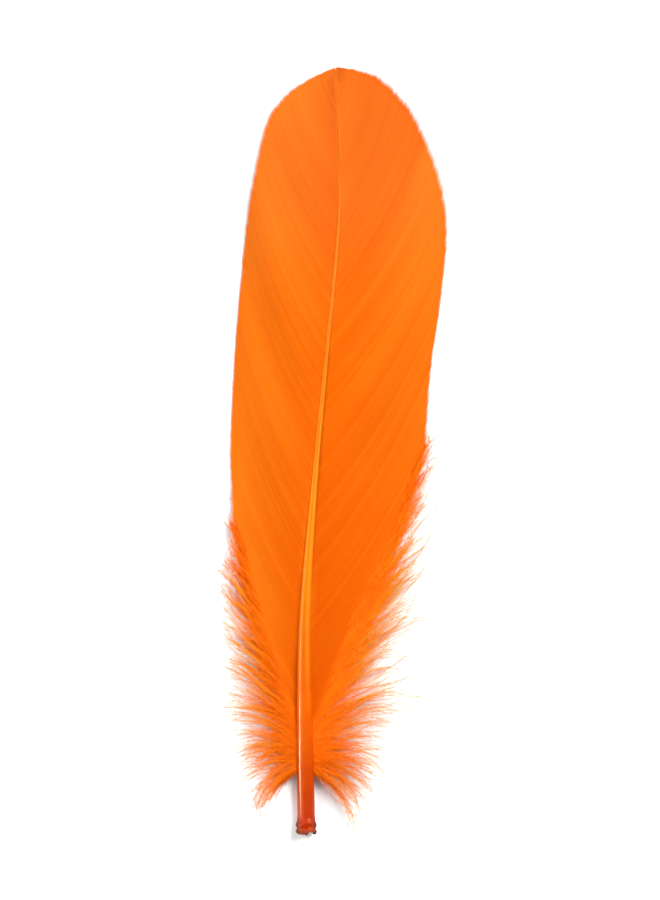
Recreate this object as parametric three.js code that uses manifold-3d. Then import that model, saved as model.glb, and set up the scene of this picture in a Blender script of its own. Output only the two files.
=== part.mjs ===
// A dyed goose wing feather, lying on a table with its arched back up. Millimetres, +Z up.
// +Y runs from the quill's cut end to the tip, and +X to the wider of the two vanes.
// The origin is on the table, in the middle of the flat that the quill rests on.
// A feather grows as one piece, so its shaft, its vanes and its down are joined in one solid.
import * as THREE from "three";
import { mergeVertices } from "three/addons/utils/BufferGeometryUtils.js";
import Module from "manifold-3d";

const wasm = await Module();
wasm.setup();

// Driving dimensions. A station is a distance along the shaft from the quill's cut end.
const LENGTH = 180;
const REST_STATION = 6;
const QUILL_RADIUS = 2.05;
const QUILL_WALL = 0.55;
const HOLLOW_DEPTH = 13; // of which the last part narrows to a plug
const ARCH_START = 12;
const ARCH_HEIGHT = 5.6;
const ARCH_POWER = 1.3;
const VANE_THICKNESS = 0.5;
const FIRST_BARB = 16.5;
const LAST_BARB = 178.5;

// Colours of the dyed feather, used here by one material.
const DYED_ORANGE = 0xfa7216;

const { PI } = Math;
const HALF_VANE = VANE_THICKNESS / 2;
const share = (x, from, to) => THREE.MathUtils.clamp((x - from) / (to - from), 0, 1);

// A smooth line through [position, value] pairs, with each slope taken from its two neighbours.
function smoothLine(pairs) {
  const slopes = pairs.map((_, i) => {
    const [x0, y0] = pairs[Math.max(i - 1, 0)];
    const [x1, y1] = pairs[Math.min(i + 1, pairs.length - 1)];
    return (y1 - y0) / (x1 - x0);
  });
  return (x) => {
    let i = 0;
    while (i < pairs.length - 2 && x > pairs[i + 1][0]) i++;
    const [x0, y0] = pairs[i];
    const [x1, y1] = pairs[i + 1];
    const s = share(x, x0, x1);
    const bow = (x1 - x0) * (slopes[i] * (1 - s) - slopes[i + 1] * s) * s * (1 - s);
    return y0 + (y1 - y0) * s * s * (3 - 2 * s) + bow;
  };
}

// The shaft: its sideways sweep and its radius along the stations, and its arch over the table.
const sweep = smoothLine([
  [0, 0],
  [25, -0.4],
  [50, -0.4],
  [80, 1.7],
  [110, 4.5],
  [137, 7.1],
  [150, 7.7],
  [LENGTH, 6.8],
]);
const shaftRadius = smoothLine([
  [0, QUILL_RADIUS],
  [8, QUILL_RADIUS],
  [16, QUILL_RADIUS],
  [27, 1.85],
  [50, 1.3],
  [80, 0.72],
  [110, 0.48],
  [148, 0.32],
  [LENGTH, 0.2],
]);
const archAt = (station) =>
  ARCH_HEIGHT * Math.sin(PI * share(station, ARCH_START, LENGTH)) ** ARCH_POWER;

function shaftCentre(station) {
  const z = archAt(station) + shaftRadius(station);
  return new THREE.Vector3(sweep(station), station, z);
}

// Where the barbs end: a barb that leaves the shaft at a root station reaches this far out and along.
// The first five of each are the down round the quill, which hangs back or stands out sideways.
// From the root station closedFrom on, a barb is zipped to its neighbours right to its end.
const barbEnds = {
  right: {
    x: smoothLine([
      [FIRST_BARB, 11],
      [17.5, 17.5],
      [19, 22],
      [21, 25],
      [24, 26.8],
      [28, 27.4],
      [33, 27.6],
      [39, 27.8],
      [46, 28.2],
      [60, 29.4],
      [75, 31.7],
      [90, 33],
      [105, 32.3],
      [120, 28.9],
      [135, 23.9],
      [150, 17.2],
      [162, 12.3],
      [172, 9],
      [LAST_BARB, 6.9],
    ]),
    y: smoothLine([
      [FIRST_BARB, 2],
      [17.5, 9],
      [19, 20],
      [21, 34],
      [24, 50],
      [28, 63],
      [33, 75],
      [39, 84],
      [46, 92.5],
      [60, 110],
      [75, 126],
      [90, 140],
      [105, 150],
      [120, 161],
      [135, 170.8],
      [150, 177.3],
      [162, 179.1],
      [172, 179.6],
      [LAST_BARB, 179.8],
    ]),
    closedFrom: 46,
  },
  left: {
    x: smoothLine([
      [FIRST_BARB, -10],
      [17.5, -14.5],
      [19, -18],
      [21, -19.6],
      [24, -19.8],
      [28, -19.2],
      [33, -18.3],
      [40, -17.5],
      [50, -17.9],
      [60, -17.4],
      [75, -16.3],
      [90, -15],
      [105, -13.6],
      [120, -11.3],
      [135, -8.6],
      [148, -4.4],
      [160, 0.2],
      [170, 3.8],
      [LAST_BARB, 6.7],
    ]),
    y: smoothLine([
      [FIRST_BARB, 4],
      [17.5, 11],
      [19, 21],
      [21, 33],
      [24, 45],
      [28, 56],
      [33, 66],
      [40, 76],
      [50, 90],
      [60, 104],
      [75, 121],
      [90, 134.5],
      [105, 147],
      [120, 159.5],
      [135, 168.6],
      [148, 173.9],
      [160, 176.9],
      [170, 178.6],
      [LAST_BARB, 179.7],
    ]),
    closedFrom: 40,
  },
};

// The vane's edge over the table: it touches along the middle and at the tip, and lifts between them.
const edgeHeight = smoothLine([
  [FIRST_BARB, 3],
  [24, 2.7],
  [34, 1.9],
  [44, 0.8],
  [54, HALF_VANE],
  [82, HALF_VANE],
  [97, 0.6],
  [112, 1.1],
  [130, 1],
  [155, 0.5],
  [LAST_BARB, HALF_VANE],
]);
const VANE_FALL = 1.7; // the power by which the vane falls from the shaft to its edge
const BARB_ROOT_HEIGHT = 1.05; // of the shaft's radius, over its underside
const BARB_ROOT_INSET = 0.3; // of the shaft's radius, past its middle
const RIPPLE = 0.55;
const RIPPLE_LENGTH = 36;
const FLAT_TO = 50; // the root station where the ripples start, and the one where they are full
const RIPPLED_FROM = 85;
const CREST = { right: 122, left: 110 }; // the root station of the barb that one ripple's crest follows

// How many degrees wide of its chord a barb leaves the shaft. A barb of the vane then bends back to
// the tip. One of the down does the opposite: it leaves close to the shaft and its end hangs back.
const barbBend = smoothLine([
  [FIRST_BARB, -30],
  [21, -26],
  [28, -12],
  [40, 4],
  [52, 9],
  [LAST_BARB, 9],
]);

// The middle line of one barb, as a function of the share of its length from the shaft.
function barbLine(side, root) {
  const ends = barbEnds[side];
  const inward = side === "right" ? -1 : 1;
  const start = new THREE.Vector2(sweep(root) + inward * BARB_ROOT_INSET * shaftRadius(root), root);
  const end = new THREE.Vector2(ends.x(root), ends.y(root));
  const reach = new THREE.Vector2().subVectors(end, start).multiplyScalar(1 / 3);
  const still = new THREE.Vector2();
  const bend = inward * THREE.MathUtils.degToRad(barbBend(root));
  const plan = new THREE.CubicBezierCurve(
    start,
    reach.clone().rotateAround(still, bend).add(start),
    reach.clone().rotateAround(still, -bend).negate().add(end),
    end,
  );
  const rootHeight = archAt(root) + BARB_ROOT_HEIGHT * shaftRadius(root);
  const turn = (2 * PI * (root - CREST[side])) / RIPPLE_LENGTH;
  const wave = RIPPLE * Math.cos(turn) * share(root, FLAT_TO, RIPPLED_FROM);
  return (f) => {
    const { x, y } = plan.getPoint(f);
    const fall = (edgeHeight(root) - rootHeight) * f ** VANE_FALL;
    const ripple = wave * Math.sin(PI * f);
    return new THREE.Vector3(x, y, Math.max(HALF_VANE, rootHeight + fall + ripple));
  };
}

// A closed skin over rings of points, all of the same even number. Each end is closed straight across.
function loft(rings) {
  const n = rings[0].length;
  const last = (rings.length - 1) * n;
  const index = [];
  for (let r = 0; r < rings.length - 1; r++) {
    for (let k = 0; k < n; k++) {
      const a = r * n + k;
      const b = r * n + ((k + 1) % n);
      index.push(a, b + n, b, a, a + n, b + n);
    }
  }
  for (let k = 0; k < n / 2 - 1; k++) {
    const far = n - 1 - k;
    index.push(k, k + 1, far, k + 1, far - 1, far);
    index.push(last + k, last + far, last + k + 1, last + k + 1, last + far, last + far - 1);
  }
  return new THREE.BufferGeometry().setFromPoints(rings.flat()).setIndex(index);
}

// A polygon of points round a centre, in the plane that faces along a direction and stands upright.
// An edge of it lies at the bottom, at exactly the height of the centre less the radius.
function polygonRing(centre, along, sides, wide, high = wide) {
  const across = new THREE.Vector3(along.y, -along.x, 0).normalize();
  const up = new THREE.Vector3().crossVectors(across, along).normalize();
  const corner = 1 / Math.cos(PI / sides);
  return Array.from({ length: sides }, (_, k) => {
    const angle = (2 * PI * (k + 0.5)) / sides - PI / 2;
    return centre
      .clone()
      .addScaledVector(across, wide * corner * Math.cos(angle))
      .addScaledVector(up, high * corner * Math.sin(angle));
  });
}

function toSolid(geometry) {
  const merged = mergeVertices(geometry, 1e-5);
  return new wasm.Manifold(
    new wasm.Mesh({
      numProp: 3,
      vertProperties: merged.attributes.position.array,
      triVerts: new Uint32Array(merged.index.array),
    }),
  );
}

// The shaft: a hollow quill that runs on as the tapering rachis to the feather's tip.
const SHAFT_SIDES = 12;
const SHAFT_STATIONS = [0, 6, ARCH_START, 18, 24, 30, 38, 48, 60, 74, 90, 106, 122, 138, 152, 166, 178.9];

function shaft() {
  const alongY = new THREE.Vector3(0, 1, 0);
  const ring = (s) => polygonRing(shaftCentre(s), alongY, SHAFT_SIDES, shaftRadius(s));
  const hollowRadius = QUILL_RADIUS - QUILL_WALL;
  const plugStart = HOLLOW_DEPTH * 0.8;
  const plugRadius = hollowRadius * 0.4;
  const hollowRing = (s, radius) =>
    polygonRing(new THREE.Vector3(sweep(s), s, QUILL_RADIUS), alongY, SHAFT_SIDES, radius);
  const hollow = [
    hollowRing(-1, hollowRadius),
    hollowRing(plugStart, hollowRadius),
    hollowRing(HOLLOW_DEPTH, plugRadius),
  ];
  return toSolid(loft(SHAFT_STATIONS.map(ring))).subtract(toSolid(loft(hollow)));
}

// A vane: the zipped part of its barbs, as one thin sheet that fuses to the shaft.
// Near the quill the sheet narrows, because there the barbs' outer ends are loose down.
const VANE_LINES = 34;
const VANE_STEPS = 6;
const FIRST_ZIPPED = 19;
const ZIP_GROWTH = 0.6; // the power by which the zipped share of a barb grows up the shaft
const CROWDING = 1.25; // the power by which the lines crowd together towards the tip
const zippedShare = (side, root) => share(root, FIRST_ZIPPED, barbEnds[side].closedFrom) ** ZIP_GROWTH;

function vane(side) {
  const rings = [];
  for (let j = 0; j <= VANE_LINES; j++) {
    const along = 1 - (1 - j / VANE_LINES) ** CROWDING;
    const root = THREE.MathUtils.lerp(FIRST_ZIPPED + 1, LAST_BARB, along);
    const line = barbLine(side, root);
    const zipped = zippedShare(side, root);
    const middle = [];
    for (let i = 0; i <= VANE_STEPS; i++) middle.push(line((zipped * i) / VANE_STEPS));
    const raised = (dz) => (p) => new THREE.Vector3(p.x, p.y, p.z + dz);
    const top = middle.map(raised(HALF_VANE));
    const bottom = middle.map(raised(-HALF_VANE)).reverse();
    const ring = [...top, ...bottom];
    rings.push(side === "right" ? ring.reverse() : ring);
  }
  return toSolid(loft(rings));
}

// The down: locks of loose barbs round the end of the quill, in three layers over the table.
// Those that grow above the quill start where the vane's sheet ends. Their lengths vary in a fixed round.
const LOCKS_A_SIDE = 30;
const LOCKS_STOP = 1.5; // short of the root station from which the vane is closed
const LOCK_RINGS = 5;
const LOCK_SIDES = 6;
const LOCK_WIDTH = 1.2;
const LOCK_THICKNESS = 0.62;
const LOCK_FULLNESS = 0.2; // how far along the swell of a whole spindle a lock starts
const STEP = 0.02; // of a barb's length, either side of the point where its direction is taken
const LOCK_OVERLAP = 0.14; // of a barb's length, along which its lock lies in the vane
const LOCK_CROWDING = 1.3; // the power by which the locks crowd together round the quill
const LOCK_END = 0.22; // of a lock's width, at its tip
const LOCK_LOWEST = 1.2; // of a lock's thickness, for its middle line over the table
const LAYER_HEIGHTS = [0.8, 6.2, 3.2];
const LAYERS_CLOSE = 0.45; // the share of their height that the layers lose up the shaft
const LOCK_LENGTHS = [1, 0.86, 0.95, 0.8, 0.98, 0.9, 0.83];

function lock(side, number) {
  const along = number / (LOCKS_A_SIDE - 1);
  const lastRoot = barbEnds[side].closedFrom - LOCKS_STOP;
  const root = THREE.MathUtils.lerp(FIRST_BARB, lastRoot, along ** LOCK_CROWDING);
  const line = barbLine(side, root);
  const endHeight = LAYER_HEIGHTS[number % LAYER_HEIGHTS.length] * (1 - LAYERS_CLOSE * along);
  const lift = endHeight - edgeHeight(root);
  const from = Math.max(0, zippedShare(side, root) - LOCK_OVERLAP);
  const to = LOCK_LENGTHS[number % LOCK_LENGTHS.length];
  const rings = [];
  for (let i = 0; i < LOCK_RINGS; i++) {
    const part = i / (LOCK_RINGS - 1);
    const f = THREE.MathUtils.lerp(from, to, part);
    const ahead = line(Math.min(f + STEP, 1)).sub(line(Math.max(f - STEP, 0))).normalize();
    const round = Math.sin(PI * THREE.MathUtils.lerp(LOCK_FULLNESS, 1, part));
    const swell = THREE.MathUtils.lerp(LOCK_END, 1, Math.max(0, round) ** 0.8);
    const centre = line(f);
    centre.z = Math.max(centre.z + lift * part ** VANE_FALL, LOCK_THICKNESS * LOCK_LOWEST);
    rings.push(polygonRing(centre, ahead, LOCK_SIDES, LOCK_WIDTH * swell, LOCK_THICKNESS * swell));
  }
  return toSolid(loft(rings));
}

// The whole feather, fused into one solid and moved so that its resting flat is at the origin.
function feather() {
  const pieces = [shaft(), vane("right"), vane("left")];
  for (const side of ["right", "left"]) {
    for (let number = 0; number < LOCKS_A_SIDE; number++) pieces.push(lock(side, number));
  }
  // Where locks cross they can shut in a pinhole. Only the outer skin is kept, so a pinhole is filled.
  const [outside] = wasm.Manifold.union(pieces)
    .decompose()
    .filter((skin) => skin.volume() > 0);
  const { numProp, vertProperties, triVerts } = outside.getMesh();
  const points = new THREE.InterleavedBuffer(vertProperties, numProp);
  const geometry = new THREE.BufferGeometry();
  geometry.setAttribute("position", new THREE.InterleavedBufferAttribute(points, 3, 0));
  geometry.setIndex(new THREE.BufferAttribute(triVerts, 1));
  const flat = geometry.toNonIndexed();
  flat.computeVertexNormals();
  return flat;
}

const material = new THREE.MeshStandardMaterial({
  name: "dyed_feather",
  color: DYED_ORANGE,
  roughness: 0.6,
  metalness: 0,
});
const mesh = new THREE.Mesh(feather(), material);
mesh.name = "feather";
mesh.position.y = -REST_STATION;

const group = new THREE.Group();
group.add(mesh);

export default group;
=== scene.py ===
import bpy
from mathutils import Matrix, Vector
import numpy as np


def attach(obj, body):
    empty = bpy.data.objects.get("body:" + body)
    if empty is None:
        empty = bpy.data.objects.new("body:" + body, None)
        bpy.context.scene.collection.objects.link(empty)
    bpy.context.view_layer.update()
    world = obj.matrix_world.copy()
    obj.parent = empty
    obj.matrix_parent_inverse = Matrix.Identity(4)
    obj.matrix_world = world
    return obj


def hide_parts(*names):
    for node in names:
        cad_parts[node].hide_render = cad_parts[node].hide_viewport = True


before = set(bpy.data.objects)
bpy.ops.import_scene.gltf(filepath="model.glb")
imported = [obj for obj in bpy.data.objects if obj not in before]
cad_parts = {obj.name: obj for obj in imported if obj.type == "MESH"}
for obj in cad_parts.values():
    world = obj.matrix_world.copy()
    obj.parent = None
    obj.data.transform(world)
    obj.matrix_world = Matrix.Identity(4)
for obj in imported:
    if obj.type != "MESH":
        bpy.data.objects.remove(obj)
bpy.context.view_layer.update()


# The shaft. A goose feather grows round one shaft of horny keratin: a bare hollow quill at its root,
# cut off square and a little frayed, which runs on as the solid, tapering rachis up to the tip.
# It was dyed with the rest of the feather, and everything else grows out of its two sides.

MM = 0.001  # lengths are in millimetres up to make_piece, which turns them into metres
LENGTH = 180.0
REST_STATION = 6.0  # stations count from the quill's cut end, and this one lies at the origin
QUILL_RADIUS = 2.05
QUILL_WALL = 0.55
HOLLOW_DEPTH = 13.0
ARCH_START = 12.0
ARCH_HEIGHT = 5.6
ARCH_POWER = 1.3
FIRST_BARB = 16.5
LAST_BARB = 178.5


def share(x, low, high):
    """How far x is on its way from low to high, from 0 to 1."""
    return np.clip((np.asarray(x, float) - low) / (high - low), 0, 1)


def ease(x, low, high):
    """The same, but starting and stopping gently."""
    s = share(x, low, high)
    return s * s * (3 - 2 * s)


def mix(a, b, s):
    """The value s of the way from a to b."""
    return a + (b - a) * s


def smooth_line(pairs):
    """A smooth line through (place, value) pairs, with each slope taken from its two neighbours."""
    xs, ys = np.array(pairs, float).T
    before = np.maximum(np.arange(len(xs)) - 1, 0)
    after = np.minimum(np.arange(len(xs)) + 1, len(xs) - 1)
    slopes = (ys[after] - ys[before]) / (xs[after] - xs[before])

    def line(x):
        i = np.clip(np.searchsorted(xs, x) - 1, 0, len(xs) - 2)
        s = share(x, xs[i], xs[i + 1])
        bow = (xs[i + 1] - xs[i]) * (slopes[i] * (1 - s) - slopes[i + 1] * s) * s * (1 - s)
        return mix(ys[i], ys[i + 1], s * s * (3 - 2 * s)) + bow

    return line


sweep = smooth_line([
    (0, 0), (25, -0.4), (50, -0.4), (80, 1.7), (110, 4.5), (137, 7.1), (150, 7.7), (LENGTH, 6.8),
])
shaft_radius = smooth_line([
    (0, QUILL_RADIUS), (8, QUILL_RADIUS), (16, QUILL_RADIUS), (27, 1.85), (50, 1.3), (80, 0.72),
    (110, 0.48), (148, 0.32), (LENGTH, 0.2),
])


def arch(station):
    """The height of the shaft's underside over the table."""
    return ARCH_HEIGHT * np.sin(np.pi * share(station, ARCH_START, LENGTH)) ** ARCH_POWER


def skin(rings):
    """Closed skins over rows of rings. rings is an array of (thread, step, corner, xyz)."""
    threads, steps, corners, _ = rings.shape
    number = np.arange(threads * steps * corners).reshape(threads, steps, corners)
    turned = np.roll(number, -1, axis=2)
    sides = [number[:, :-1], turned[:, :-1], turned[:, 1:], number[:, 1:]]
    sides = np.stack(sides, axis=-1).reshape(-1, 4)
    caps = np.concatenate([number[:, 0, ::-1], number[:, -1]])
    return rings.reshape(-1, 3), [sides, caps]


def make_piece(name, points, face_groups, values, sharp=None, normals=None):
    """A mesh of points in millimetres, with its values written to it as attributes of its points."""
    mesh = bpy.data.meshes.new(name)
    points = np.array(points, float)
    points[:, 1] -= REST_STATION
    mesh.vertices.add(len(points))
    mesh.vertices.foreach_set("co", (points * MM).ravel())
    corners = np.concatenate([faces.ravel() for faces in face_groups])
    sizes = np.concatenate([np.full(len(faces), faces.shape[1]) for faces in face_groups])
    mesh.loops.add(len(corners))
    mesh.loops.foreach_set("vertex_index", corners)
    mesh.polygons.add(len(sizes))
    mesh.polygons.foreach_set("loop_start", np.concatenate([[0], np.cumsum(sizes)[:-1]]))
    mesh.update(calc_edges=True)
    mesh.shade_smooth()
    for key, value in values.items():
        layer = mesh.attributes.new(key, "FLOAT", "POINT")
        layer.data.foreach_set("value", np.asarray(value, np.float32).ravel())
    if sharp is not None:
        ends = np.zeros(len(mesh.edges) * 2, int)
        mesh.edges.foreach_get("vertices", ends)
        on = sharp[ends.reshape(-1, 2)].all(axis=1)
        mesh.attributes.new("sharp_edge", "BOOLEAN", "EDGE").data.foreach_set("value", on)
    if normals is not None:
        mesh.normals_split_custom_set_from_vertices(normals)
    piece = bpy.data.objects.new(name, mesh)
    bpy.context.scene.collection.objects.link(piece)
    return piece


# Its section is round at the quill. Along the rachis it squares up and gets a shallow channel on top.
SHAFT_SIDES = 48
SQUARED_FROM, SQUARED_TO = 42.0, 92.0
SQUARENESS = 3.0
CHANNEL_FROM, CHANNEL_TO = 22.0, 60.0
CHANNEL_DEPTH = 0.16
CHANNEL_WIDTH = 0.30
RIM_LENGTH = 4.3  # the cut end, over which the horn is frayed and swollen in a knobbly cuff
RIM_FLARE = 0.19
LOBE_LENGTH = 2.5  # from one knob of the cuff to the next
LOBE_MIDDLE, LOBE_SWING = 0.6, 0.4
FRAY = 1.1
FRAY_MIDDLE, FRAY_SWING = 0.5, 0.3
NOTCHES = [(3, 1, 1.0), (7, 0, 0.7), (13, 2, 0.6)]  # turns round the rim, phase and depth of its ragged edge
NOTCH_FLARE = 0.05
LOWEST_POINT = 0.02  # no point of the shaft comes closer to the table than this


def shaft_ring(station, radius, frayed):
    """One ring of the shaft's points. frayed moves it, as on the cut end."""
    angle = 2 * np.pi * np.arange(SHAFT_SIDES) / SHAFT_SIDES
    power = 2 / mix(2, SQUARENESS, ease(station, SQUARED_FROM, SQUARED_TO))
    across = np.sign(np.cos(angle)) * np.abs(np.cos(angle)) ** power
    up = np.sign(np.sin(angle)) * np.abs(np.sin(angle)) ** power
    channel = CHANNEL_DEPTH * ease(station, CHANNEL_FROM, CHANNEL_TO)
    up = up - channel * np.exp(-(across / CHANNEL_WIDTH) ** 2) * (up > 0)
    rim = 1 - share(station, 0, RIM_LENGTH)
    notch = sum(depth * np.sin(turns * angle + phase) for turns, phase, depth in NOTCHES)
    lobes = LOBE_MIDDLE + LOBE_SWING * np.cos(2 * np.pi * station / LOBE_LENGTH + np.sin(2 * angle + 1))
    swollen = lobes * (1 - ease(station, RIM_LENGTH - 1, RIM_LENGTH))
    grow = radius * (1 + frayed * (swollen * RIM_FLARE + rim * NOTCH_FLARE * notch))
    x = sweep(station) - grow * across
    y = station + frayed * FRAY * rim ** 2 * (FRAY_MIDDLE + FRAY_SWING * notch)
    z = np.maximum(arch(station) + shaft_radius(station) + grow * up, LOWEST_POINT)
    return np.stack([x, y + 0 * x, z], axis=-1)


PAST_RIM = RIM_LENGTH + 0.4
FINE_TO = 30.0  # up to this station the rings are closer together
TIP_LENGTH = 0.6
TIP_RADIUS = 0.08
HOLLOW_STRAIGHT = 0.8  # of its depth
HOLLOW_END = [(0.93, 0.8), (1, 0.4)]  # shares of its depth and of its radius, where it rounds off


def shaft_rings():
    """All its rings, from the bottom of the hollow out over the rim and up the outside to the tip."""
    outer = np.concatenate([
        np.linspace(0, RIM_LENGTH, 26),
        np.linspace(PAST_RIM, FINE_TO, 34),
        np.arange(FINE_TO + 1, LENGTH - 1),
    ])
    rings = [shaft_ring(s, shaft_radius(s), 1) for s in outer]
    bore = QUILL_RADIUS - QUILL_WALL
    inner = [shaft_ring(s, bore, 1) for s in np.linspace(0, RIM_LENGTH, 10)]
    inner += [shaft_ring(s, bore, 0) for s in np.linspace(PAST_RIM, HOLLOW_DEPTH * HOLLOW_STRAIGHT, 8)]
    inner += [shaft_ring(HOLLOW_DEPTH * deep, bore * narrow, 0) for deep, narrow in HOLLOW_END]
    tip = shaft_ring(LENGTH - TIP_LENGTH, TIP_RADIUS, 0)
    return np.array([inner[::-1] + rings + [tip]])


def node_group(name, inputs, outputs):
    """An empty shader node group with these named sockets, and its input and output nodes."""
    group = bpy.data.node_groups.new(name, "ShaderNodeTree")
    for key, (kind, value) in inputs.items():
        socket = group.interface.new_socket(key, in_out="INPUT", socket_type=kind)
        if value is not None:
            socket.default_value = value
    for key, kind in outputs.items():
        group.interface.new_socket(key, in_out="OUTPUT", socket_type=kind)
    return group, group.nodes.new("NodeGroupInput").outputs, group.nodes.new("NodeGroupOutput").inputs


def put(tree, kind, settings=None, **inputs):
    """Adds a node, sets its properties and fills its inputs with values or with other nodes' outputs."""
    node = tree.nodes.new("ShaderNode" + kind)
    for key, value in (settings or {}).items():
        setattr(node, key, value)
    for key, value in inputs.items():
        socket = node.inputs[int(key[1:])] if key[1:].isdigit() else node.inputs[key.replace("_", " ")]
        if isinstance(value, bpy.types.NodeSocket):
            tree.links.new(value, socket)
        else:
            socket.default_value = value
    return node


def dye_group():
    """The colour of a tone from 0, deep, to 1, pale, holding dye and painted light, with soft cloudy patches
    of uneven dye.
    """
    group, given, result = node_group(
        "dye",
        {
            "Tone": ("NodeSocketFloat", 0.5),
            "Deep": ("NodeSocketColor", (0.6, 0.04, 0.001, 1)),
            "Full": ("NodeSocketColor", (0.9, 0.14, 0.003, 1)),
            "Pale": ("NodeSocketColor", (1.0, 0.25, 0.03, 1)),
            "Patch Size": ("NodeSocketFloat", 90.0),
            "Patchiness": ("NodeSocketFloat", 0.1),
        },
        {"Color": "NodeSocketColor", "Tone": "NodeSocketFloat"},
    )
    place = put(group, "TexCoord").outputs["Object"]
    noise = put(group, "TexNoise", Vector=place, Scale=given["Patch Size"], Detail=3.0).outputs["Fac"]
    shift = put(group, "Math", {"operation": "SUBTRACT"}, _0=noise, _1=0.5).outputs[0]
    shift = put(group, "Math", {"operation": "MULTIPLY"}, _0=shift, _1=given["Patchiness"]).outputs[0]
    clamped_sum = {"operation": "ADD", "use_clamp": True}
    tone = put(group, "Math", clamped_sum, _0=given["Tone"], _1=shift).outputs[0]
    lower = put(group, "MapRange", Value=tone, From_Min=0.0, From_Max=0.5).outputs[0]
    upper = put(group, "MapRange", Value=tone, From_Min=0.5, From_Max=1.0).outputs[0]
    rgba = {"data_type": "RGBA"}
    first = put(group, "Mix", rgba, _0=lower, _6=given["Deep"], _7=given["Full"]).outputs[2]
    second = put(group, "Mix", rgba, _0=upper, _6=first, _7=given["Pale"]).outputs[2]
    group.links.new(second, result["Color"])
    group.links.new(tone, result["Tone"])
    return group


dye = dye_group()


def new_material(name):
    """A material with only its output node, and a function that reads an attribute of the mesh."""
    material = bpy.data.materials.new(name)
    material.use_nodes = True
    tree = material.node_tree
    tree.nodes.clear()
    end = tree.nodes.new("ShaderNodeOutputMaterial").inputs["Surface"]

    def read(key):
        return put(tree, "Attribute", {"attribute_name": key}).outputs["Fac"]

    return material, tree, end, read


BURNT_COLOUR = (0.15, 0.022, 0.011, 1)
HORN_GLOW = 0.18  # the share of the light that comes through the horn


def shaft_material():
    """Glossy, slightly clear horn: gold along the rachis, redder on the quill and brown at its cut end."""
    material, tree, end, read = new_material("dyed_horn")
    colour = put(tree, "Group", {"node_tree": dye}, Tone=read("tone"), Patch_Size=260.0, Patchiness=0.25,
                 Deep=(0.36, 0.016, 0.0, 1), Full=(0.64, 0.092, 0.0, 1), Pale=(0.84, 0.225, 0.006, 1))
    place = put(tree, "TexCoord").outputs["Object"]
    along = put(tree, "Mapping", Vector=place, Scale=(2600.0, 130.0, 2600.0)).outputs[0]
    streaks = put(tree, "TexNoise", Vector=along, Scale=1.0, Detail=2.0).outputs["Fac"]
    rough = put(tree, "MapRange", Value=streaks, To_Min=0.14, To_Max=0.30).outputs[0]
    crust = put(tree, "TexNoise", Vector=place, Scale=1900.0, Detail=4.0).outputs["Fac"]
    rough = put(tree, "Mix", _0=read("matt"), _2=rough, _3=0.65).outputs[0]
    burnt = read("burnt")
    mask = put(tree, "Math", {"operation": "MULTIPLY"}, _0=crust, _1=2.6).outputs[0]
    mask = put(tree, "Math", {"operation": "MULTIPLY", "use_clamp": True}, _0=mask, _1=burnt).outputs[0]
    brown = put(tree, "Mix", {"data_type": "RGBA"}, _0=mask, _6=colour.outputs["Color"],
                _7=BURNT_COLOUR).outputs[2]
    rough = put(tree, "Math", {"operation": "ADD"}, _0=rough,
                _1=put(tree, "Math", {"operation": "MULTIPLY"}, _0=mask, _1=0.3).outputs[0]).outputs[0]
    bump = put(tree, "Bump", Height=put(tree, "Math", {"operation": "MULTIPLY_ADD"}, _0=crust, _1=burnt,
                                        _2=streaks).outputs[0], Strength=0.25, Distance=0.0001).outputs[0]
    horn = put(tree, "BsdfPrincipled", Base_Color=brown, Roughness=rough, IOR=1.54, Normal=bump)
    horn.inputs["Specular IOR Level"].default_value = 0.38
    horn.inputs["Specular Tint"].default_value = (1.0, 0.66, 0.34, 1)
    through = put(tree, "BsdfTranslucent", Color=brown)
    both = put(tree, "MixShader", _0=HORN_GLOW, _1=horn.outputs[0], _2=through.outputs[0])
    tree.links.new(both.outputs[0], end)
    return material


# The tone of dye and painted light runs from 0, deep red, to 1, pale. Pairs of numbers are the stations
# where a change starts and ends. The painted highlight band, the painted shade in the channel and the
# flanks are placed in radii beside the shaft's middle line.
CUT_TONE, QUILL_TONE = 0.04, 0.55
QUILL_REDDENS = (2, 34)
RACHIS_PALER = 0.4
RACHIS_PALES = (30, 70)
UPPER_DEEPER = 0.25
UPPER_DEEPENS = (60, 130)
# painted highlight: a paler gold band right of the rachis's middle, where the key light falls on it
HIGHLIGHT_BAND_AT, HIGHLIGHT_BAND_WIDTH, PAINTED_HIGHLIGHT = 0.5, 0.3, 0.22
# painted shade: a deeper line down the middle of the rachis, in its channel
GROOVE_SHADE_WIDTH, PAINTED_GROOVE_SHADE = 0.25, 0.15
PAINTED_LIGHT_SHOWS = (25, 45)
FLANKS = (0.7, 1.05)
CUFF_BROWN = (RIM_LENGTH - 0.6, RIM_LENGTH + 0.2)
CUT_BROWN = (0.2, 1.7)
TIP_MATT = (100, 155)
CUFF_MATT = 0.4
CUFF_SHINES = (3, 13)

points, faces = skin(shaft_rings())
station = points[:, 1]
beside = (points[:, 0] - sweep(station)) / shaft_radius(station)
highlight_band = np.exp(-((beside - HIGHLIGHT_BAND_AT) / HIGHLIGHT_BAND_WIDTH) ** 2)
groove_shade = np.exp(-(beside / GROOVE_SHADE_WIDTH) ** 2)
tone = mix(CUT_TONE, QUILL_TONE, ease(station, *QUILL_REDDENS))
tone = tone + RACHIS_PALER * ease(station, *RACHIS_PALES) - UPPER_DEEPER * ease(station, *UPPER_DEEPENS)
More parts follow.
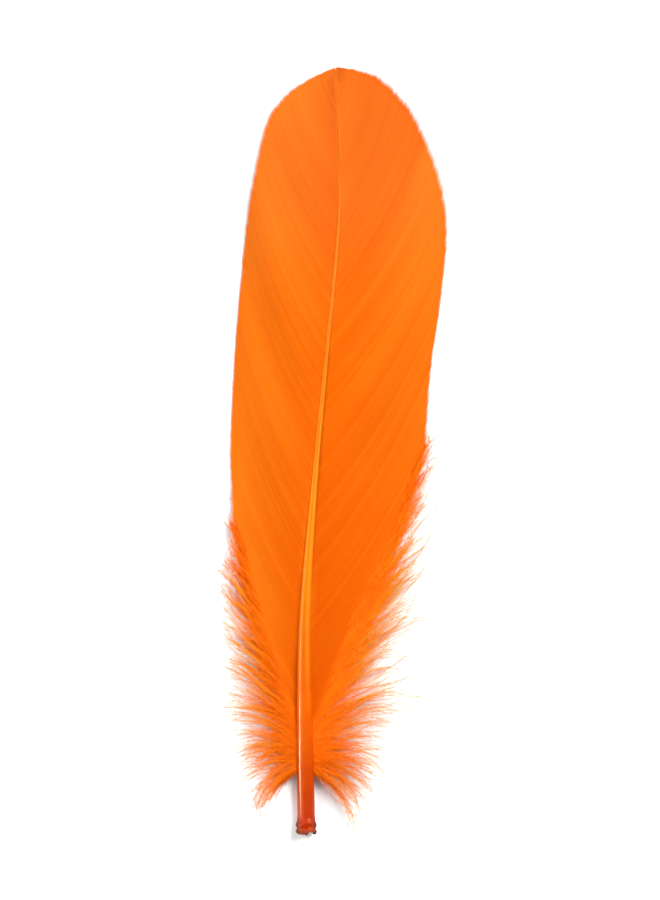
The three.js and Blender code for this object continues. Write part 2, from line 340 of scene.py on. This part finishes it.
# the painted highlight band and the painted channel shade on the rachis
tone = tone + ease(station, *PAINTED_LIGHT_SHOWS) * (PAINTED_HIGHLIGHT * highlight_band - PAINTED_GROOVE_SHADE * groove_shade)
flank = ease(np.abs(beside), *FLANKS) * (1 - ease(station, *CUFF_BROWN))
burnt = np.maximum(1 - ease(station, *CUT_BROWN), flank)
matt = ease(station, *TIP_MATT) + CUFF_MATT * (1 - ease(station, *CUFF_SHINES))
shaft = make_piece("shaft", points, faces, {"tone": tone, "burnt": burnt, "matt": matt})
shaft.data.materials.append(shaft_material())
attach(shaft, "root")
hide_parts("feather")


# The vanes. Each is a row of some three hundred barbs that grow out of one side of the rachis. They are
# thin ribs of keratin, and tiny hooked barbules zip each one to the next, so they lie as one sheet.
# Near the quill the zip stops short of the barbs' ends, and the rest of each one hangs loose.

BARB_PITCH = 0.5
VANE_LOWEST = 0.25
BARB_ROOT_HEIGHT = 1.05
UPPER_ROOT_HEIGHT = 1.6  # up the shaft the barbs grow out of it nearer to its top
ROOTS_RISE, ROOTS_RISEN = 55.0, 110.0
OVER_SHAFT = 2.3  # towards the tip the barbs close over the thin end of the rachis
SHAFT_SINKS, SHAFT_SUNK = 152.0, 179.0
BARB_ROOT_INSET = 0.3
VANE_FALL = 1.7
RIPPLE = 0.55
RIPPLE_LENGTH = 36.0
FLAT_TO, RIPPLED_FROM = 50.0, 85.0
FIRST_ZIPPED = 19.0
ZIP_GROWTH = 0.6
CREST = {"right": 122.0, "left": 110.0}
CLOSED_FROM = {"right": 46.0, "left": 40.0}
INWARD = {"right": -1.0, "left": 1.0}
BARB_END_X = {
    "right": smooth_line([
        (FIRST_BARB, 11), (17.5, 17.5), (19, 22), (21, 25), (24, 26.8), (28, 27.4), (33, 27.6),
        (39, 27.8), (46, 28.2), (60, 29.4), (75, 31.7), (90, 33), (105, 32.3), (120, 28.9),
        (135, 23.9), (150, 17.2), (162, 12.3), (172, 9), (LAST_BARB, 6.9),
    ]),
    "left": smooth_line([
        (FIRST_BARB, -10), (17.5, -14.5), (19, -18), (21, -19.6), (24, -19.8), (28, -19.2),
        (33, -18.3), (40, -17.5), (50, -17.9), (60, -17.4), (75, -16.3), (90, -15), (105, -13.6),
        (120, -11.3), (135, -8.6), (148, -4.4), (160, 0.2), (170, 3.8), (LAST_BARB, 6.7),
    ]),
}
BARB_END_Y = {
    "right": smooth_line([
        (FIRST_BARB, 2), (17.5, 9), (19, 20), (21, 34), (24, 50), (28, 63), (33, 75), (39, 84),
        (46, 92.5), (60, 110), (75, 126), (90, 140), (105, 150), (120, 161), (135, 170.8),
        (150, 177.3), (162, 179.1), (172, 179.6), (LAST_BARB, 179.8),
    ]),
    "left": smooth_line([
        (FIRST_BARB, 4), (17.5, 11), (19, 21), (21, 33), (24, 45), (28, 56), (33, 66), (40, 76),
        (50, 90), (60, 104), (75, 121), (90, 134.5), (105, 147), (120, 159.5), (135, 168.6),
        (148, 173.9), (160, 176.9), (170, 178.6), (LAST_BARB, 179.7),
    ]),
}
edge_height = smooth_line([
    (FIRST_BARB, 3), (24, 2.7), (34, 1.9), (44, 0.8), (54, VANE_LOWEST), (82, VANE_LOWEST), (97, 0.6),
    (112, 1.1), (130, 1), (155, 0.5), (LAST_BARB, VANE_LOWEST),
])
barb_bend = smooth_line([(FIRST_BARB, -30), (21, -26), (28, -12), (40, 4), (52, 9), (LAST_BARB, 9)])


def barb_lines(side, roots, f):
    """The middle lines of barbs: roots is a column of root stations, and f the shares of their length."""
    start = np.stack([sweep(roots) + INWARD[side] * BARB_ROOT_INSET * shaft_radius(roots), roots], axis=-1)
    end = np.stack([BARB_END_X[side](roots), BARB_END_Y[side](roots)], axis=-1)
    third = (end - start) / 3
    bend = INWARD[side] * np.radians(barb_bend(roots))

    def turned(vector, angle):
        cos, sin = np.cos(angle), np.sin(angle)
        x, y = vector[..., 0], vector[..., 1]
        return np.stack([x * cos - y * sin, x * sin + y * cos], axis=-1)

    leave = start + turned(third, bend)
    arrive = end - turned(third, -bend)
    g = f[..., None]
    plan = ((1 - g) ** 3 * start + 3 * (1 - g) ** 2 * g * leave
            + 3 * (1 - g) * g ** 2 * arrive + g ** 3 * end)
    high = mix(BARB_ROOT_HEIGHT, UPPER_ROOT_HEIGHT, ease(roots, ROOTS_RISE, ROOTS_RISEN))
    high = mix(high, OVER_SHAFT, ease(roots, SHAFT_SINKS, SHAFT_SUNK))
    root_height = arch(roots) + high * shaft_radius(roots)
    turn = 2 * np.pi * (roots - CREST[side]) / RIPPLE_LENGTH
    wave = RIPPLE * np.cos(turn) * share(roots, FLAT_TO, RIPPLED_FROM)
    z = root_height + (edge_height(roots) - root_height) * f ** VANE_FALL + wave * np.sin(np.pi * f)
    return np.concatenate([plan, np.maximum(VANE_LOWEST, z)[..., None]], axis=-1)


def zipped_share(side, roots):
    """The share of a barb's length over which it is zipped to its neighbours."""
    return share(roots, FIRST_ZIPPED, CLOSED_FROM[side]) ** ZIP_GROWTH


def drift(places, step, seed):
    """Smooth noise between -1 and 1 along a line of places, with its swings about step apart."""
    rng = np.random.default_rng(seed)
    knots = np.arange(-step, LENGTH + 3 * step, step)
    return smooth_line(list(zip(knots, rng.uniform(-1, 1, len(knots)))))(places)


# The vanes' tone, with painted sheen, painted shade and painted light in it. SHAFT_PALES and TIP_CHANGES
# are the stations where a change starts and ends.
EDGE_GROWTH = {"right": 1.2, "left": 0.8}
# on the right the tone steps down just above the fold at 123: painted shade on the fold's far slope
edge_tone = {
    "right": smooth_line([
        (FIRST_BARB, 0.55), (50, 0.8), (90, 1.1), (118, 1.1), (128, 0.55), (LAST_BARB, 0.6),
    ]),
    "left": smooth_line([(FIRST_BARB, 1.25), (60, 1.1), (120, 0.95), (LAST_BARB, 0.85)]),
}
SHAFT_TONES = (0.22, 0.44)  # beside the shaft, low on the vane and high on it
SHAFT_PALES = (20, 110)
TIP_TONE_AND_SHEEN = {"right": 0.16, "left": -0.2}  # what the barbs' lower halves gain in tone up the vane: a painted sheen on the right, a deeper tone on the left
TIP_CHANGES = (125, 150)
STREAKS = [(0.04, 1.1, 3), (0.03, 4.1, 4)]  # strength, distance apart and seed of paler and deeper barbs
BARB_SCATTER = 0.10
ROOT_PAINTED_LIGHT = 0.45  # painted light: the tone a barb gains next to the rachis, over the shade in the slot there
ROOT_LIGHT_LENGTH = 0.4
BURIED_LENGTH = 2.3  # of the shaft's radius, for the part of a barb inside the shaft
CREASE = 123.0  # a small fold along one of the right vane's barbs
CREASE_STEEP, CREASE_SOFT = 1.6, 7.0  # how soon it dies away above and below that barb
CREASE_SHADE_AT = CREASE + 1.2  # painted shade: a deeper line in the crook of the fold
PAINTED_CREASE_SHADE = 0.22
CREASE_SHADE_SHOWS = (0.05, 0.4)  # of the barb's length


def vane_tone(side, seed, rng, roots, f, length):
    """The tone along each barb, with painted sheen, shade and light: f is the share of its length, and
    length is in millimetres.
    """
    # on the right, the inner parts of the barbs get a painted sheen towards the tip
    near = mix(*SHAFT_TONES, ease(roots, *SHAFT_PALES)) + TIP_TONE_AND_SHEEN[side] * ease(roots, *TIP_CHANGES)
    tone = mix(near, edge_tone[side](roots), f ** EDGE_GROWTH[side])
    for swing, step, more in STREAKS:
        tone = tone + swing * drift(roots, step, seed + more)
    tone = tone + BARB_SCATTER * rng.uniform(-1, 1, (len(roots), 1))
    if side == "right":
        # painted shade along the crook of the right vane's fold
        crease_shade = np.exp(-((roots - CREASE_SHADE_AT) / CREASE_STEEP) ** 2) * ease(f, *CREASE_SHADE_SHOWS)
        tone = tone - PAINTED_CREASE_SHADE * crease_shade
    bare = np.maximum(0, length - BURIED_LENGTH * shaft_radius(roots))
    # painted light on the barbs just past the rachis, over the shade there
    return tone + ROOT_PAINTED_LIGHT * np.exp(-bare / ROOT_LIGHT_LENGTH)


BUMPS = [(0.03, 1.7, 1), (0.07, 5.3, 2)]  # height, distance apart and seed of the sheet's small waves
BUMPS_ROUNDED = 0.7
CREASE_HEIGHT = 0.55
CREASE_STARTS = 0.02
CREASE_ROUNDED = 0.8


def sheet_waves(side, seed, roots, f):
    """How far the barbs lie over an even sheet: small waves and, on the right, the fold."""
    bumps = sum(high * drift(roots, step, seed + more) for high, step, more in BUMPS)
    waves = bumps * np.sin(np.pi * share(f, 0, 1)) ** BUMPS_ROUNDED
    if side == "right":
        above = np.exp((CREASE - roots) / CREASE_STEEP)
        below = np.exp((roots - CREASE) / CREASE_SOFT)
        crease = CREASE_HEIGHT * np.where(roots > CREASE, above, below)
        waves = waves + crease * np.sin(np.pi * share(f, CREASE_STARTS, 1)) ** CREASE_ROUNDED
    return waves


# A barb's section is a low roof. Its edge towards the quill lies over its neighbour, and the other under.
# The columns are the corner's place across, as a share of the pitch, and its height in millimetres.
BARB_SECTION = np.array([(-0.60, 0.03), (-0.08, 0.075), (0.62, -0.03), (0.0, -0.07)])
ROOF_HEIGHT = 0.07
EDGE_CORNER = 0.3  # corners further across than this are a barb's sharp edges
BARB_STEPS = 30
STEPS_CROWD = 0.9
LOOSE_RADIUS = 0.05
LOOSE_TIP = 0.35  # of that radius, at a loose barb's tip
LOOSE_DROOP = 0.16  # of the loose length
LOOSE_DROOPS = (-0.2, 1)
LOOSE_LIFT = 0.05
LOOSE_RISES = 1.5
LATEST_LOOSE = 0.98
ZIP_FADE = 0.08
ZIP_WANDER, ZIP_WANDER_STEP, ZIP_SCATTER = 0.05, 2.4, 0.03
TIP_TAPER, TIP_BLUNT = 0.05, 0.002  # of the barb's length
FRINGE = 0.012  # how unevenly the barbs end, as a share of their length
FRINGE_RANGE = (-1, 0.6)
LOWEST_BARB = 0.03
PAINTED_SHEEN = 0.24  # painted sheen: how far the top of the vanes is turned a milky colour
SHEEN_FROM, SHEEN_TO = 115.0, 160.0


def vane(side, seed):
    """One vane's barbs as one mesh, each a strip with a low roof for its section."""
    rng = np.random.default_rng(seed)
    roots = np.arange(FIRST_ZIPPED + 0.5, LAST_BARB, BARB_PITCH)[:, None]
    number = len(roots)
    steps = np.linspace(0, 1, BARB_STEPS) ** STEPS_CROWD
    reach = 1 + FRINGE * rng.uniform(*FRINGE_RANGE, (number, 1))
    f = steps * reach
    lines = barb_lines(side, roots, f)
    nearby = barb_lines(side, roots + BARB_PITCH, f)
    ahead = np.gradient(lines, axis=1)
    ahead /= np.linalg.norm(ahead, axis=-1, keepdims=True)
    turn = -INWARD[side]
    across = np.stack([-turn * ahead[..., 1], turn * ahead[..., 0], 0 * ahead[..., 0]], axis=-1)
    across /= np.linalg.norm(across, axis=-1, keepdims=True)
    gap = np.abs(((nearby - lines) * across).sum(-1))

    whole = zipped_share(side, roots) >= 1
    ragged = ZIP_WANDER * drift(roots, ZIP_WANDER_STEP, seed + 5)
    ragged = ragged + ZIP_SCATTER * rng.uniform(-1, 1, (number, 1))
    zipped = np.where(whole, 1, zipped_share(side, roots) + ragged)
    closed = 1 - ease(f, zipped - ZIP_FADE, zipped + ZIP_FADE) * ~whole
    taper = np.sqrt(1 - share(f, reach - TIP_TAPER, reach + TIP_BLUNT))
    closed = closed * np.where(whole, taper, 1)
    loosened = share(f, np.minimum(zipped, LATEST_LOOSE), 1)
    loose = LOOSE_RADIUS * mix(1, LOOSE_TIP, loosened)
    width = mix(loose, gap, closed)[..., None, None]
    height = mix(loose / ROOF_HEIGHT, 1, closed)[..., None, None]
    up = np.array([0, 0, 1.0])
    lines[..., 2] += sheet_waves(side, seed, roots, f)
    free = loosened * ~whole
    whole_length = np.linalg.norm(lines[:, -1] - lines[:, 0], axis=-1)[:, None]
    free_length = whole_length * np.maximum(0, 1 - zipped)
    droop = LOOSE_DROOP * free_length * rng.uniform(*LOOSE_DROOPS, (number, 1)) * free ** 2
    lines[..., :2] -= (across * droop[..., None])[..., :2]
    lines[..., 2] += LOOSE_LIFT * free_length * rng.uniform(-1, 1, (number, 1)) * free ** LOOSE_RISES
    section = BARB_SECTION if side == "right" else BARB_SECTION[::-1]
    rings = (lines[..., None, :] + across[..., None, :] * section[:, :1] * width
             + up * section[:, 1:] * height)
    rings[..., 2] = np.maximum(rings[..., 2], LOWEST_BARB)

    paces = np.linalg.norm(np.diff(lines, axis=1), axis=-1)
    length = np.concatenate([np.zeros((number, 1)), np.cumsum(paces, axis=1)], axis=1)
    tone = vane_tone(side, seed, rng, roots, f, length)
    corner = np.broadcast_to(section[:, 0], rings.shape[:3])
    points, faces = skin(rings)

    def wide(value):
        return np.broadcast_to(value[..., None], rings.shape[:3])

    edge = np.broadcast_to(np.abs(section[:, 0]) > EDGE_CORNER, rings.shape[:3]).ravel()
    # painted sheen, growing towards the tip
    milk = PAINTED_SHEEN * ease(lines[..., 1], SHEEN_FROM, SHEEN_TO)
    aside = corner * width[..., 0]
    values = {"tone": wide(tone), "along": wide(length), "aside": aside, "milk": wide(milk)}
    return make_piece("vane_" + side, points, faces, values, sharp=edge)


def barbule_group():
    """The barbules' fine herringbone, as a height: they slant off both sides of a barb, towards its tip."""
    group, given, result = node_group(
        "barbules",
        {
            "Along": ("NodeSocketFloat", 0.0),
            "Aside": ("NodeSocketFloat", 0.0),
            "Pitch": ("NodeSocketFloat", 0.09),
        },
        {"Height": "NodeSocketFloat"},
    )
    away = put(group, "Math", {"operation": "ABSOLUTE"}, _0=given["Aside"]).outputs[0]
    slant = put(group, "Math", {"operation": "SUBTRACT"}, _0=given["Along"], _1=away).outputs[0]
    turns = put(group, "Math", {"operation": "DIVIDE"}, _0=slant, _1=given["Pitch"]).outputs[0]
    phase = put(group, "Math", {"operation": "MULTIPLY"}, _0=turns, _1=2 * np.pi).outputs[0]
    wave = put(group, "Math", {"operation": "SINE"}, _0=phase).outputs[0]
    group.links.new(put(group, "MapRange", Value=wave, From_Min=-1.0).outputs[0], result["Height"])
    return group


barbules = barbule_group()


# the colour of the painted sheen on the vanes' top
SHEEN_PAINT_COLOUR = (0.62, 0.15, 0.034, 1)
VANE_GLOW = 0.22  # the share of the light that comes through the vane


def vane_material():
    """Matt and silky: a low sheen, the barbules' herringbone, a painted milky sheen at the top, and light
    that comes through.
    """
    material, tree, end, read = new_material("dyed_vane")
    colour = put(tree, "Group", {"node_tree": dye}, Tone=read("tone"), Patch_Size=70.0, Patchiness=0.22,
                 Deep=(0.64, 0.070, 0.0, 1), Full=(0.71, 0.114, 0.001, 1), Pale=(0.80, 0.178, 0.006, 1))
    # painted sheen: the dye's colour mixed towards a milky colour at the top of the vanes
    dye_and_sheen = put(tree, "Mix", {"data_type": "RGBA"}, _0=read("milk"), _6=colour.outputs["Color"],
               _7=SHEEN_PAINT_COLOUR).outputs[2]
    weave = put(tree, "Group", {"node_tree": barbules}, Along=read("along"), Aside=read("aside"))
    bump = put(tree, "Bump", Height=weave.outputs[0], Strength=0.35, Distance=0.00003).outputs[0]
    rough = put(tree, "MapRange", Value=colour.outputs["Tone"], To_Min=0.62, To_Max=0.50).outputs[0]
    barb = put(tree, "BsdfPrincipled", Base_Color=dye_and_sheen, Roughness=rough, Normal=bump)
    barb.inputs["Specular IOR Level"].default_value = 0.08
    barb.inputs["Specular Tint"].default_value = (1.0, 0.55, 0.2, 1)
    barb.inputs["Sheen Weight"].default_value = 0.03
    barb.inputs["Sheen Roughness"].default_value = 0.4
    barb.inputs["Sheen Tint"].default_value = (1.0, 0.45, 0.15, 1)
    through = put(tree, "BsdfTranslucent", Color=dye_and_sheen)
    both = put(tree, "MixShader", _0=VANE_GLOW, _1=barb.outputs[0], _2=through.outputs[0])
    tree.links.new(both.outputs[0], end)
    return material


VANE_SEEDS = {"right": 11, "left": 27}
vane_finish = vane_material()
for side, seed in VANE_SEEDS.items():
    sheet = vane(side, seed)
    sheet.data.materials.append(vane_finish)
    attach(sheet, "root")


# The down. Round the end of the quill and along the foot of the vanes the barbs never zip. They are
# soft, curl and cling together in tapering locks, and long fine barbules stand off them on all sides.

LOCKS_A_SIDE = 30
LOCKS_STOP = 1.5  # before the station where the vane is closed
LOCK_CROWDING = 1.3  # towards the quill
LOCK_OVERLAP = 0.14  # how far down the zipped part strands start, as a share of the barb's length
LAYER_HEIGHTS = [0.8, 6.2, 3.2]  # the heights at which the locks end, in turn
LAYERS_CLOSE = 0.45  # how much lower they end beside the vane
LAYERS_BLEND = 0.6  # how far a strand's end leaves its lock's height
LOCK_LENGTHS = [1, 0.86, 0.95, 0.8, 0.98, 0.9, 0.83]  # shares of the barb's length, in turn
STRANDS_A_LOCK = 20
ROOT_SCATTER, ROOT_BEFORE, ROOT_PAST = 1.0, 0.4, 2
OVERLAP_RANGE = (0.3, 1.3)
REACH_RANGE = (0.6, 1.1)
SHORTEST_STRAND = 0.12  # of the barb's length
LOWEST_STRAND = 0.12
STRAND_STEPS = 22
STRAND_SIDES = 3
STRAND_RADIUS = 0.075
STRAND_TIP = 0.42  # of that radius
CLING = 0.6  # how far a strand closes on its lock's middle line
CLING_AT_VANE = 0.3
CLING_GROWS = (0.1, 0.8)  # the shares of a strand between which it closes on its lock
CURL = 0.07  # of the strand's length
CURL_RANGE = (0.2, 1.0)
CURL_GROWTH = 1.4
CURLS_A_STRAND = (0.7, 1.6)  # waves from its root to its end
UPRIGHT_CURL = 0.6  # of the curl sideways
DROOP = 0.2  # of the strand's length, towards the quill
DROOP_RANGE = (-0.3, 1)
STRAY_SHARE = 0.07  # of the strands: these keep out of the locks, and are longer and curlier
STRAY_CURL = 2.6
STRAY_REACH = 0.14
STRAY_TIP = 0.5


def tubes(lines, radii, sides):
    """Rings of a few corners round lines, an array of (thread, step, xyz)."""
    ahead = np.gradient(lines, axis=1)
    ahead /= np.linalg.norm(ahead, axis=-1, keepdims=True) + 1e-12
    out = np.cross(ahead, [0, 0, 1.0])
    out /= np.linalg.norm(out, axis=-1, keepdims=True) + 1e-12
    up = np.cross(out, ahead)
    angle = 2 * np.pi * np.arange(sides) / sides
    spoke = out[..., None, :] * np.cos(angle)[:, None] - up[..., None, :] * np.sin(angle)[:, None]
    return lines[..., None, :] + spoke * radii[..., None, None], ahead, out, up


def down_strands(side, locks, rng):
    """The middle lines of the down's strands, the shares along them, and which ones stray."""
    number = np.repeat(locks, STRANDS_A_LOCK)
    along = number / (LOCKS_A_SIDE - 1)
    last = CLOSED_FROM[side] - LOCKS_STOP
    lock_root = mix(FIRST_BARB, last, along ** LOCK_CROWDING)[:, None]
    root = lock_root + rng.normal(0, ROOT_SCATTER, lock_root.shape)
    root = np.clip(root, FIRST_BARB - ROOT_BEFORE, last + ROOT_PAST)
    overlap = LOCK_OVERLAP * rng.uniform(*OVERLAP_RANGE, lock_root.shape)
    start = np.maximum(0, zipped_share(side, lock_root) - overlap)
    lock_length = np.array(LOCK_LENGTHS)[number % len(LOCK_LENGTHS)][:, None]
    stop = lock_length * rng.uniform(*REACH_RANGE, lock_root.shape)
    stop = np.maximum(stop, start + SHORTEST_STRAND)
    stray = rng.uniform(0, 1, root.shape) < STRAY_SHARE
    stop = stop + STRAY_REACH * stray
    part = np.linspace(0, 1, STRAND_STEPS)[None, :]
    f = mix(start, stop, part)
    own = barb_lines(side, root, f)
    guide = barb_lines(side, lock_root, f)
    cling = mix(CLING, CLING_AT_VANE, along[:, None]) * ease(part, *CLING_GROWS) * ~stray
    lines = mix(own, guide, cling[..., None])
    layer = np.array(LAYER_HEIGHTS)[number % len(LAYER_HEIGHTS)][:, None]
    layer = mix(layer, rng.uniform(min(LAYER_HEIGHTS), max(LAYER_HEIGHTS), layer.shape), LAYERS_BLEND)
    end_height = layer * (1 - LAYERS_CLOSE * along[:, None])
    lift = end_height - edge_height(lock_root)
    lines[..., 2] += lift * part ** VANE_FALL
    swing = rng.uniform(0, 2 * np.pi, (2, len(number), 1))
    waves = rng.uniform(*CURLS_A_STRAND, (2, len(number), 1))
    long = np.linalg.norm(lines[:, -1] - lines[:, 0], axis=-1)[:, None]
    size = CURL * long * rng.uniform(*CURL_RANGE, (2, len(number), 1)) * part ** CURL_GROWTH
    size = size * mix(1, STRAY_CURL, stray)
    curl = size * (np.sin(2 * np.pi * waves * part + swing) - np.sin(swing))
    ahead = np.gradient(lines, axis=1)
    ahead /= np.linalg.norm(ahead, axis=-1, keepdims=True)
    out = np.cross(ahead, [0, 0, 1.0])
    lines = lines + out * curl[0][..., None]
    lines[..., 2] += UPRIGHT_CURL * curl[1]
    lines[..., 1] -= DROOP * long * along[:, None] * rng.uniform(*DROOP_RANGE, root.shape) * part ** 2
    lines[..., 2] = np.maximum(lines[..., 2], LOWEST_STRAND)
    return lines, part, stray


BARBULES_A_PIECE = 40000
BARBULE_LENGTH = 2.0
BARBULE_RANGE = (0.45, 1.15)
BARBULE_RADIUS = 0.03
BARBULE_ANGLES = (28, 62)  # off the strand, in degrees
BARBULES_FLAT = 0.7  # how far they stand up and down, against sideways
BARBULES_FROM, BARBULES_RUN, BARBULES_CROWD = 0.04, 0.945, 1.25
BARBULES_GROW = (-0.1, 0.2)
BARBULES_SHORTEN = 0.75
FULL_BARBULES = (-4, 16)  # the strand lengths over which barbules get their whole length
STRAY_BARBULES = 0.3  # of the barbules on other strands
LOWEST_TIP = 0.04


def barbule_spikes(rng, lines, directions, lengths, stray):
    """Thin spikes off the strands: their points and normals, and the strand and step each grows from."""
    shares = lengths * mix(1, STRAY_BARBULES, stray[:, 0])
    counts = (BARBULES_A_PIECE * shares / shares.sum()).astype(int)
    thread = np.repeat(np.arange(len(lines)), counts)
    total = len(thread)
    where = BARBULES_FROM + BARBULES_RUN * rng.uniform(0, 1, total) ** BARBULES_CROWD
    place = where * (STRAND_STEPS - 1)
    low = np.floor(place).astype(int)
    blend = (place - low)[:, None]
    foot, forward, sideways, upward = [
        mix(field[thread, low], field[thread, low + 1], blend) for field in (lines, *directions)
    ]
    roll = rng.uniform(0, 2 * np.pi, total)[:, None]
    spread = np.radians(rng.uniform(*BARBULE_ANGLES, total))[:, None]
    spoke = sideways * np.cos(roll) + upward * BARBULES_FLAT * np.sin(roll)
    aim = forward * np.cos(spread) + spoke * np.sin(spread)
    aim /= np.linalg.norm(aim, axis=-1, keepdims=True)
    long = BARBULE_LENGTH * rng.uniform(*BARBULE_RANGE, total) * (1 - BARBULES_SHORTEN * where ** 2)
    long = long * ease(where, *BARBULES_GROW) * share(lengths[thread], *FULL_BARBULES)
    tip = foot + aim * long[:, None]
    tip[:, 2] = np.maximum(tip[:, 2], LOWEST_TIP)
    first = np.cross(aim, [0.31, 0.17, 0.93])
    first /= np.linalg.norm(first, axis=-1, keepdims=True)
    second = np.cross(aim, first)
    thirds = 2 * np.pi * np.arange(3) / 3
    base = [foot + BARBULE_RADIUS * (first * np.cos(a) + second * np.sin(a)) for a in thirds]
    spikes = np.stack(base + [tip], axis=1)
    lean = np.stack([corner - foot for corner in base] + [aim * BARBULE_RADIUS], axis=1) / BARBULE_RADIUS
    return spikes.reshape(-1, 3), lean.reshape(-1, 3), thread, low


SOFTNESS = 0.6  # how far a hair's shading turns up, because fine down takes light as one soft surface
DOWN_TONE = 0.48
STRAND_SCATTER = 0.16
STRAW_ENDS = 0.55  # the tone that a long strand gains to its end, where it is thin and took less dye
STRAW_LENGTHS = (8, 24)  # the lengths over which strands get such ends
STRAW_PART = (0.35, 0.85)  # the shares of the strand between which it pales
BARBULE_PALER = 0.1
DEPTH_TONE = 0.34  # deep in the down, light that passed other hairs is redder
DEPTH = 4.5


def down(name, side, locks, seed):
    """The strands of some locks and the barbules on them, as one mesh."""
    rng = np.random.default_rng(seed)
    lines, part, stray = down_strands(side, locks, rng)
    radii = STRAND_RADIUS * mix(1, np.where(stray, STRAY_TIP, STRAND_TIP), part)
    rings, *directions = tubes(lines, radii, STRAND_SIDES)
    points, (sides, caps) = skin(rings)
    away = (rings - lines[..., None, :]) / radii[..., None, None]
    shade = STRAND_SCATTER * rng.uniform(-1, 1, stray.shape)
    tone = DOWN_TONE + shade - DEPTH_TONE * (1 - share(lines[..., 2], 0, DEPTH))
    lengths = np.linalg.norm(np.diff(lines, axis=1), axis=-1).sum(axis=1)
    tone = tone + STRAW_ENDS * ease(part, *STRAW_PART) * share(lengths, *STRAW_LENGTHS)[:, None]
    strand_tones = np.broadcast_to(tone[..., None], rings.shape[:3]).ravel()

    spikes, lean, thread, low = barbule_spikes(rng, lines, directions, lengths, stray)
    k = len(points) + 4 * np.arange(len(thread))[:, None]
    triangles = np.concatenate([k + [0, 1, 3], k + [1, 2, 3], k + [2, 0, 3], k + [2, 1, 0]])
    spike_tones = np.repeat(tone[thread, low] + BARBULE_PALER, 4)
    normals = np.concatenate([away.reshape(-1, 3), lean]) + [0, 0, SOFTNESS]
    normals /= np.linalg.norm(normals, axis=-1, keepdims=True)
    faces = [sides, np.concatenate([caps, triangles])]
    tones = np.concatenate([strand_tones, spike_tones])
    return make_piece(name, np.concatenate([points, spikes]), faces, {"tone": tones}, normals=normals)


def down_material():
    """Very fine, soft, matt fibres. The pale end of their dye is for strands that thin out."""
    material, tree, end, read = new_material("dyed_down")
    colour = put(tree, "Group", {"node_tree": dye}, Tone=read("tone"), Patch_Size=160.0, Patchiness=0.3,
                 Deep=(0.66, 0.080, 0.001, 1), Full=(0.89, 0.172, 0.001, 1), Pale=(0.74, 0.290, 0.006, 1))
    fibre = put(tree, "BsdfPrincipled", Base_Color=colour.outputs["Color"], Roughness=0.6)
    fibre.inputs["Specular IOR Level"].default_value = 0.06
    tree.links.new(fibre.outputs[0], end)
    return material


HALF_THE_LOCKS = LOCKS_A_SIDE // 2
DOWN_PARTS = {
    "down_right_quill": ("right", range(HALF_THE_LOCKS), 41),
    "down_right_vane": ("right", range(HALF_THE_LOCKS, LOCKS_A_SIDE), 42),
    "down_left_quill": ("left", range(HALF_THE_LOCKS), 53),
    "down_left_vane": ("left", range(HALF_THE_LOCKS, LOCKS_A_SIDE), 54),
}
down_finish = down_material()
for name, (side, locks, seed) in DOWN_PARTS.items():
    fluff = down(name, side, list(locks), seed)
    fluff.data.materials.append(down_finish)
    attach(fluff, "root")


# The table, the light and the camera. The feather lies on a plain white surface under large soft
# lights, and the camera looks straight down on it.

TABLE_SIZE = 3.0
table_mesh = bpy.data.meshes.new("table")
half = TABLE_SIZE / 2
table_corners = [(-half, -half, 0), (half, -half, 0), (half, half, 0), (-half, half, 0)]
table_mesh.from_pydata(table_corners, [], [(0, 1, 2, 3)])
table = bpy.data.objects.new("table", table_mesh)
bpy.context.scene.collection.objects.link(table)
table_finish, tree, end, _ = new_material("white_table")
grain = put(tree, "TexNoise", Vector=put(tree, "TexCoord").outputs["Object"], Scale=900.0, Detail=2.0)
paper = put(tree, "BsdfPrincipled", Base_Color=(0.9, 0.9, 0.9, 1), Roughness=0.8,
            Normal=put(tree, "Bump", Height=grain.outputs["Fac"], Strength=0.03, Distance=0.0002).outputs[0])
paper.inputs["Specular IOR Level"].default_value = 0.1
tree.links.new(paper.outputs[0], end)
table_mesh.materials.append(table_finish)


def soft_light(name, place, spread, strength):
    """A large far lamp in the direction of place: spread is how wide it looks, in degrees."""
    data = bpy.data.lights.new(name, "SUN")
    data.angle = np.radians(spread)
    data.energy = strength
    lamp = bpy.data.objects.new(name, data)
    lamp.location = place
    lamp.rotation_euler = Vector(place).to_track_quat("Z", "Y").to_euler()
    bpy.context.scene.collection.objects.link(lamp)


soft_light("key", (0.5, 0.52, 0.7), 33, 5.1)
soft_light("fill", (-0.8, 0.22, 0.8), 43, 1.5)
soft_light("rim", (-0.6, -0.13, 0.15), 13, 2.3)
world = bpy.data.worlds.new("studio")
world.use_nodes = True
air = world.node_tree
ambient = air.nodes["Background"]
ambient.inputs["Color"].default_value = (1, 1, 1, 1)
ambient.inputs["Strength"].default_value = 0.3
backdrop = put(air, "Background", Color=(1, 1, 1, 1), Strength=1.0)
blend = put(air, "MixShader", _0=put(air, "LightPath").outputs["Is Camera Ray"],
            _1=ambient.outputs[0], _2=backdrop.outputs[0])
air.links.new(blend.outputs[0], air.nodes["World Output"].inputs["Surface"])
bpy.context.scene.world = world
bpy.context.scene.view_settings.view_transform = "Standard"

VIEW_HEIGHT = 0.211  # in metres, what the picture takes in from top to bottom
VIEW_CENTRE = (0.0055, 0.084)
LENS = 135.0
FILM = 36.0
camera_data = bpy.data.cameras.new("camera")
camera_data.lens = LENS
camera_data.sensor_fit = "VERTICAL"
camera_data.sensor_height = FILM
camera = bpy.data.objects.new("camera", camera_data)
camera.location = (*VIEW_CENTRE, VIEW_HEIGHT * LENS / FILM)
bpy.context.scene.collection.objects.link(camera)
bpy.context.scene.camera = camera
